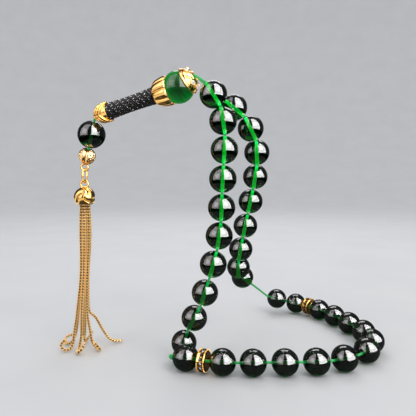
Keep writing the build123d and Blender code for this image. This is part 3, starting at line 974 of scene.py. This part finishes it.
def braid_path(k, way, start, end, lift, shift):
    """One strand of the braid: its points and the outward direction at each."""
    path = []
    normals = []
    for i in range(SLEEVE_STEPS + 1):
        t = i / SLEEVE_STEPS
        theta = way * TAU * SLEEVE_TURNS * t + TAU * (k + 0.25 * (way + 1)) / SLEEVE_STRANDS + shift
        crossing = 2 * SLEEVE_STRANDS * SLEEVE_TURNS * t + k + (1 - way) / 2
        r = sleeve_radius(t) - STRAND_SINK + STRAND_WEAVE * math.sin(math.pi * crossing) + lift
        path.append((r * math.cos(theta), r * math.sin(theta), start + (end - start) * t))
        normals.append((math.cos(theta), math.sin(theta), 0))
    return path, normals


def build_sleeve():
    """A round braid: strands wound both ways, each passing over and under the others in turn."""
    start = TULIP_END_AT - SLEEVE_TUCK + FIT
    end = TIP_AT - CHEVRON_LENGTH + SLEEVE_TUCK - FIT
    liner = [(sleeve_radius(i / 20) - SLEEVE_LINER, start + (end - start) * i / 20) for i in range(21)]
    shell = Shell().add(*lathe(liner + [(TUBE_HOLE_R, end), (TUBE_HOLE_R, start)], 40))
    strand = ellipse(STRAND_THICK, STRAND_WIDE, 8)
    silver = ellipse(SILVER_R, SILVER_R, 6)
    for way in (1, -1):
        for k in range(SLEEVE_STRANDS):
            shell.add(*ribbon(*braid_path(k, way, start, end, 0.0, 0.0), strand), 0)
            if k % 2 == 0:
                shell.add(*ribbon(*braid_path(k, way, start, end, SILVER_LIFT, SILVER_SHIFT), silver), 1)
    shell_piece("sleeve_braid", shell, [BLACK_THREAD, SILVER_THREAD], "imame", "braided_sleeve", "sleeve",
                frame_at(HEAD, IMAME_DIR))


def ribbon(path, normals, profile):
    """Skins a flat profile along a path; its first coordinate stays on the given normals."""
    p = np.array(path)
    n = np.array(normals)
    tangent = np.gradient(p, axis=0)
    tangent /= np.linalg.norm(tangent, axis=1)[:, None]
    across = np.cross(tangent, n)
    across /= np.linalg.norm(across, axis=1)[:, None]
    verts = p[:, None] + profile[None, :, :1] * n[:, None] + profile[None, :, 1:] * across[:, None]
    sides = len(profile)
    return verts.reshape(-1, 3), skin(len(p), sides) + end_caps(len(p), sides)


def dome_radius(height):
    """Outer radius of the end cap at a height above its rim."""
    t = min(1.0, max(0.0, height / CHEVRON_LENGTH))
    return CHEVRON_TIP_R + (CHEVRON_BASE_R - CHEVRON_TIP_R) * math.sqrt(max(0.0, 1 - t**2.6))


def build_chevron():
    rim = TIP_AT - CHEVRON_LENGTH
    neck = SLEEVE_R - 0.1
    outer = [(neck, rim), (CHEVRON_BASE_R, rim)]
    for i in range(CHEVRON_STEPS):
        height = CHEVRON_LENGTH * (i + 1) / CHEVRON_STEPS
        outer.append((dome_radius(height), rim + height))
    inner = [(0.95, TIP_AT), (0.95, TIP_AT - 1.6), (TUBE_HOLE_R, TIP_AT - 1.7),
             (TUBE_HOLE_R, rim + SLEEVE_TUCK + 1.2), (neck, rim + SLEEVE_TUCK)]
    gold = Shell().add(*lathe(outer + inner, 64))
    around = 120
    place = frame_at(HEAD, IMAME_DIR)
    to_camera = place.to_3x3().inverted() @ (Vector(CAMERA_AT) - HEAD)
    facing = math.atan2(to_camera.y, to_camera.x)
    for base in CHEVRON_BASES:
        path = []
        for i in range(around):
            theta = TAU * i / around
            bend = abs(((theta - facing) / math.pi) % 1.0 - 0.5) * 2
            height = base + CHEVRON_RISE * bend**1.1
            r = dome_radius(height) + CHEVRON_PROUD
            path.append((r * math.cos(theta), r * math.sin(theta), rim + height))
        gold.add(*sweep(path, round_section(CHEVRON_WIRE, 12), (0, 0, 1), closed=True))
    shell_piece("chevron_gold", gold, [GOLD], "imame", "chevron_cap", "gold", place)


# ======== clamshell, link, tassel cap
def clam_half(side):
    """Half a hollow ball turned about its own pole, with a rolled rim and a frosted face."""
    start = math.degrees(math.asin((CLAM_GAP + 1.15) / CLAM_R))
    outline = [(CLAM_INNER_R, CLAM_GAP), (2.55, CLAM_GAP), (2.8, CLAM_GAP + 0.05), (2.98, CLAM_GAP + 0.2),
               (3.12, CLAM_GAP + 0.5), (3.24, CLAM_GAP + 0.85)]
    outline += arc(CLAM_R, 90 - start, 1, 40)
    inner = arc(CLAM_INNER_R, 1, 90, 12, (0, CLAM_GAP))[:-1]
    verts, faces = lathe(outline + inner, 96)
    # the lathe's Z becomes the pole direction, side * X
    verts = np.stack([verts[:, 2] * side, verts[:, 0], verts[:, 1]], 1)
    radius = np.linalg.norm(verts, axis=1)
    outer = radius > CLAM_R - 0.06
    dust = np.array([noise.noise(Vector(v) * DUST_SCALE) for v in verts])
    verts = verts + verts / radius[:, None] * (dust * DUST_DEPTH - DUST_SINK)[:, None] * outer[:, None]
    # a round notch where the cord enters
    off_axis = np.hypot(verts[:, 0], verts[:, 1])
    notch = (verts[:, 2] > 1.0) & (off_axis < CLAM_NOTCH_R)
    verts[:, :2] *= np.where(notch, CLAM_NOTCH_R / np.maximum(off_axis, 1e-6), 1.0)[:, None]
    if side < 0:
        faces = [tuple(reversed(f)) for f in faces]
    return verts, faces


def build_clamshell():
    place = frame_at(CLAM, PENDANT_UP, Vector((1, 0, 0)))
    for name, side in (("left", -1), ("right", 1)):
        shell = Shell().add(*clam_half(side), 0)
        if side > 0:
            verts, faces = torus(EYE_R, EYE_WIRE_R + 0.02, 40, 14)
            shell.add(moved(verts, turn_matrix((0, 0, -EYE_AT), x=90)), faces, 1)
        node = "clamshell_" + name
        shell_piece(node + "_gold", shell, [GOLD_STARDUST, GOLD], "clamshell", node, "gold", place)


def build_link():
    top = EYE.z - EYE_R + EYE_WIRE_R + LINK_WIRE_R + FIT - LINK_HALF_WIDTH
    bottom = CAP_EYE.z + CAP_EYE_R - CAP_EYE_WIRE_R - LINK_WIRE_R - FIT + LINK_HALF_WIDTH
    height = top - bottom
    half = height / 2
    bend = [(r, 0, half + z) for r, z in arc(LINK_HALF_WIDTH, 90, -90, 16)]
    path = bend + [(-x, 0, -z) for x, _, z in bend]
    path = even(path + [path[0]], samples=80)[:-1]

    def fuller_sides(i):
        swell = LINK_SWELL * max(0.0, 1 - (abs(path[i][2]) / half) ** 2)
        return round_section(LINK_WIRE_R + swell, 12)(i)

    verts, faces = sweep(path, fuller_sides, (0, 1, 0), closed=True)
    lean = math.degrees(math.atan2(EYE.x - CAP_EYE.x, height))
    centre = Vector(((EYE.x + CAP_EYE.x) / 2, EYE.y, (top + bottom) / 2))
    tilt = turn_matrix(centre * MM, y=lean) @ turn_matrix(z=90 - LINK_TURN)
    shell_piece("oval_link_gold", Shell().add(verts, faces), [GOLD], "oval_link", "oval_link", "gold", tilt)


def swirl(direction):
    """How deep a love-knot's valleys are in a direction: three rolls wound round a pole facing forward."""
    pole = Vector(SWIRL_POLE).normalized()
    across = pole.cross(Vector((0, 0, 1))).normalized()
    up = across.cross(pole)
    d = Vector(direction)
    cosine = max(-1.0, min(1.0, d.dot(pole)))
    polar = math.acos(abs(cosine))
    turn = math.atan2(d.dot(up), d.dot(across)) * (1 if cosine > 0 else -1)
    phase = SWIRL_ROLLS * turn + SWIRL_TWIST * polar
    roll = abs(math.cos(phase / 2))
    return (1 - math.sqrt(1 - (1 - roll) ** 2)) * min(1.0, polar / SWIRL_EYE)


def build_tassel_cap():
    inner_top = 0.4
    low = math.degrees(math.acos(-CAP_RIM / CAP_R))
    outline = [(0.01, CAP_R)] + arc(CAP_R, 2.5, low, 56)
    outline += [(CAP_HOLLOW_R, -CAP_RIM), (CAP_HOLLOW_R, inner_top), (0.01, inner_top)]
    verts, faces = lathe(outline, 112, closed=False)
    radius = np.linalg.norm(verts, axis=1)
    for i in np.nonzero(radius > CAP_R - 0.02)[0]:
        below, above = verts[i, 2] + CAP_RIM, CAP_R - 0.25 - verts[i, 2]
        if below > 0.05 and above > 0:
            fade = min(1.0, below / SWIRL_FADE, above / SWIRL_FADE)
            verts[i] *= 1 - SWIRL_DEPTH * fade * swirl(verts[i] / radius[i])
    shell = Shell().add(moved(verts, turn_matrix((0, 0, -CAP_DROP))), faces)
    shell.add(*lathe([(0.5, -1.2), (1.0, -1.15), (0.95, -0.95), (0.8, -0.7), (0.5, -0.65)], 24))
    eye, eye_faces = torus(CAP_EYE_R, CAP_EYE_WIRE_R, 40, 14)
    shell.add(moved(eye, turn_matrix(x=90)), eye_faces)
    place = Matrix.Translation(CAP_EYE * MM)
    shell_piece("tassel_cap_gold", shell, [GOLD], "tassel", "tassel_cap", "gold", place)


# ======== chains
# tail of each chain: outward, sideways and height of a few points, from the back-right chain round
CURLS = [
    [(3.1, 0, 15), (5.0, 0.2, 13.0), (7.0, 0.4, 9.4), (9.0, 0, 5.6), (12.2, -1.0, 1.6), (15.4, -2.2, 1.2)],
    [(2.8, 0, 13), (3.3, 0.2, 6), (5.2, 0.8, 1.2), (7.6, 0.2, 1.6), (8.2, -1.2, 3.6), (6.8, -1.8, 4.6)],
    [(3.0, 0, 13), (4.2, 0.3, 6), (7.0, 1.2, 1.2), (10.2, 0.6, 1.0), (11.6, -1.2, 2.4), (9.6, -2.4, 3.4)],
    [(2.9, 0, 13), (4.0, 0, 6), (6.2, 1.0, 1.1), (8.6, 0.8, 1.4), (9.2, -0.8, 3.2), (7.4, -1.6, 4.2)],
    [(2.7, 0, 13), (3.3, -0.3, 5), (5.0, -0.9, 1.2), (7.4, -0.4, 1.1), (8.2, 1.2, 2.4), (6.6, 1.9, 4.2)],
    [(2.8, 0, 13), (3.9, 0.2, 7), (5.0, 0.4, 3), (7.6, 0.6, 1.0), (9.6, -0.8, 2.0), (8.4, -1.9, 4.2)],
    [(0, 0, 12), (0, 0, 7.5), (0, 0, 5.5)],
]
# height above the table: (reach from the tassel's axis, drift to the left)
FAN = {50: (2.0, 0.0), 40: (1.75, -0.3), 29: (1.62, -0.9), 20: (2.15, -1.5)}


def chain_path(k):
    angle = math.radians(30 + 60 * k)
    out = Vector((math.cos(angle), math.sin(angle), 0))
    side = Vector((-math.sin(angle), math.cos(angle), 0))
    if k == OUTER_CHAINS:
        out, side = Vector((0, 0, 0)), Vector((0, 0, 0))
    axis = Vector((CAP_EYE.x, CAP_EYE.y, 0))
    points = [CAP_EYE + Vector((0, 0, -BALL_DROP)) + out * CHAIN_RING_R]
    for z, (reach, drift) in FAN.items():
        points.append(axis + out * reach + Vector((drift, 0, z)))
    foot = axis + Vector((-1.7, 0, 0))
    for radial, lateral, z in CURLS[k]:
        points.append(foot + out * radial + side * lateral + Vector((0, 0, z)))
    return points


def chain_link():
    """One slanted link: a long ring of wire lying on a flat side of the chain."""
    turns, sides = 12, 5
    around = TAU * np.repeat(np.arange(turns), sides) / turns
    inside = TAU * np.tile(np.arange(sides), turns) / sides
    out = np.stack([np.cos(around) * LINK_WIDE, np.sin(around) * LINK_LONG], 1)
    normal = np.stack([np.cos(around) * LINK_LONG, np.sin(around) * LINK_WIDE], 1)
    normal /= np.linalg.norm(normal, axis=1)[:, None]
    flat = out + normal * (LINK_WIRE * np.cos(inside))[:, None]
    return np.column_stack([flat, LINK_WIRE * np.sin(inside)]), ring_faces(turns, sides)


def build_chain(k):
    """A foxtail chain: four columns of slanted links, leaning into each other like a plait."""
    path = smooth_path(chain_path(k), 400)
    path = even(path, step=LINK_STEP)[2:]
    tangent, side, up = transport(path)
    link, link_faces = chain_link()
    # A dark rod of painted shade along the chain, seen through the gaps between the links as dark lines.
    shell = Shell().add(*sweep(path, round_section(CHAIN_SHADE_CORE_R, 8)), 1)
    for i in range(len(path)):
        pinch = min(1.0, CHAIN_PINCH + (1 - CHAIN_PINCH) * i * LINK_STEP / CHAIN_PINCH_RUN)
        for column in range(4):
            a = math.radians(45 + 90 * column)
            out = side[i] * math.cos(a) + up[i] * math.sin(a)
            across = np.cross(tangent[i], out)
            lean = math.radians(LINK_LEAN) * (1 if column % 2 else -1)
            along = tangent[i] * math.cos(lean) + across * math.sin(lean)
            wide = np.cross(along, out)
            local = link[:, :1] * wide + link[:, 1:2] * along + link[:, 2:] * out
            dip = LINK_DIP * (link[:, 1:2] / LINK_LONG) * out
            shift = tangent[i] * LINK_STEP * 0.5 * (column // 2)
            shell.add((local - dip + out * LINK_OUT) * pinch + path[i] + shift, link_faces)
    name = f"chain_{k + 1}"
    body = name if k < OUTER_CHAINS else "tassel"
    shell_piece(name + "_foxtail", shell, [GOLD_CHAIN, GOLD_PAINTED_SHADE], body, name, "gold_chain")


# ======== studio
def build_floor():
    material, tree, shader, _, _ = mottled(
        "floor_pale", 0.02, 3, (0.3, (0.70, 0.70, 0.71)), (0.7, (0.73, 0.73, 0.73)))
    set_inputs(shader, {"Roughness": 0.8, "Specular IOR Level": 0.0})
    dark_to_mirrors(tree, shader, 0.1)
    cove = arc(COVE_BEND_R, 180, 90, 24, (COVE_R - COVE_BEND_R, COVE_BEND_R))
    verts, faces = lathe([(0.01, 0), (300, 0)] + cove + [(COVE_R, COVE_TOP)], 96, closed=False)
    new_object("floor", mesh_data("floor", Shell().add(verts, faces), [material]))


def dark_to_mirrors(tree, shader, share):
    """Polished and clear pieces see this surface at a share of its brightness, as on a dark set."""
    black = tree.nodes.new("ShaderNodeBsdfDiffuse")
    set_inputs(black, {"Color": (0, 0, 0, 1)})
    mix_surface(tree, math_node(tree, "MULTIPLY", reflected(tree), 1 - share), shader, black)


def softbox(name, centre, width, height, power, colour):
    """A plain soft light facing the object."""
    light = bpy.data.lights.new(name, "AREA")
    light.shape = "RECTANGLE"
    light.size, light.size_y = width * MM, height * MM
    light.energy = power
    light.color = colour
    obj = new_object(name, light)
    obj.rotation_mode = "QUATERNION"
    obj.rotation_quaternion = (Vector(AIM) - Vector(centre)).to_track_quat("-Z", "Y")
    obj.location = Vector(centre) * MM


def panel(name, verts, faces, radiance, colour, seen_in=None):
    """A bright panel seen only in reflections, in all pieces or in those of one collection."""
    material = bpy.data.materials.new(name)
    material.use_nodes = True
    tree = material.node_tree
    tree.nodes.clear()
    glow = tree.nodes.new("ShaderNodeEmission")
    glow.inputs["Color"].default_value = (*colour, 1)
    glow.inputs["Strength"].default_value = radiance
    out = tree.nodes.new("ShaderNodeOutputMaterial")
    tree.links.new(glow.outputs["Emission"], out.inputs["Surface"])
    obj = new_object(name, mesh_data(name, Shell().add(verts, faces), [material]))
    for kind in ("camera", "diffuse", "transmission", "volume_scatter", "shadow"):
        setattr(obj, "visible_" + kind, False)
    if seen_in:
        obj.light_linking.receiver_collection = seen_in


def window(name, azimuths, elevations, radiance, colour):
    """A curved panel round the object at a fixed distance."""
    rows, columns = 12, 16
    verts = []
    for i in range(rows + 1):
        e = math.radians(elevations[0] + (elevations[1] - elevations[0]) * i / rows)
        for j in range(columns + 1):
            a = math.radians(azimuths[0] + (azimuths[1] - azimuths[0]) * j / columns)
            verts.append((WINDOW_AT * math.sin(a) * math.cos(e), -WINDOW_AT * math.cos(a) * math.cos(e),
                          WINDOW_HEIGHT + WINDOW_AT * math.sin(e)))
    panel(name, verts, skin(rows + 1, columns + 1, wrap=False), radiance, colour)


def table_glow():
    """Light off the table, for the undersides of the gold pieces only."""
    verts, faces = lathe([(150, 0.4), (480, 0.4)], 64, closed=False)
    panel("table_glow", verts, faces, 1.1, (1, 0.97, 0.92), GOLD_PIECES)


def build_studio():
    build_floor()
    world = bpy.data.worlds.new("studio")
    bpy.context.scene.world = world
    world.use_nodes = True
    background = world.node_tree.nodes["Background"]
    background.inputs["Color"].default_value = (0.82, 0.84, 0.87, 1)
    tree = world.node_tree
    dimmed = math_node(tree, "MULTIPLY", reflected(tree), WORLD_DIMMED)
    strength = math_node(tree, "SUBTRACT", WORLD_GLOW, dimmed)
    tree.links.new(strength, background.inputs["Strength"])
    softbox("key_right", (420, -520, 520), 420, 420, 1.5, (1, 0.98, 0.95))
    softbox("fill_left", (-520, -420, 360), 420, 420, 0.7, (0.95, 0.94, 1))
    softbox("back_top", (60, 420, 520), 420, 260, 0.7, (1, 1, 1))
    window("window_right", (10, 82), (-6, 80), 5.2, (1, 1, 1))
    window("window_left", (-90, -24), (-6, 80), 1.5, (1, 0.93, 0.96))
    table_glow()


def build_camera():
    camera = bpy.data.cameras.new("camera")
    camera.lens = CAMERA_LENS
    camera.sensor_width = SENSOR
    camera.clip_start, camera.clip_end = 0.01, 20
    obj = new_object("camera", camera)
    obj.location = Vector(CAMERA_AT) * MM
    obj.rotation_euler = (math.radians(90 - CAMERA_DOWN), 0, 0)
    bpy.context.scene.camera = obj


# ======== build
build_beads()
build_cord()
build_divider(1)
build_divider(2)
build_crown()
build_tulip()
build_sleeve()
build_chevron()
build_clamshell()
build_link()
build_tassel_cap()
for number in range(OUTER_CHAINS + 1):
    build_chain(number)
for node, paint, slot_name in (("core_tube", TUBE_PLASTIC, "tube"), ("chain_plate", GOLD, "gold")):
    shown = frame["nodes"][node]
    shown.data.materials.clear()
    shown.data.materials.append(paint)
build_studio()
build_camera()
bpy.context.scene.view_settings.view_transform = "Standard"
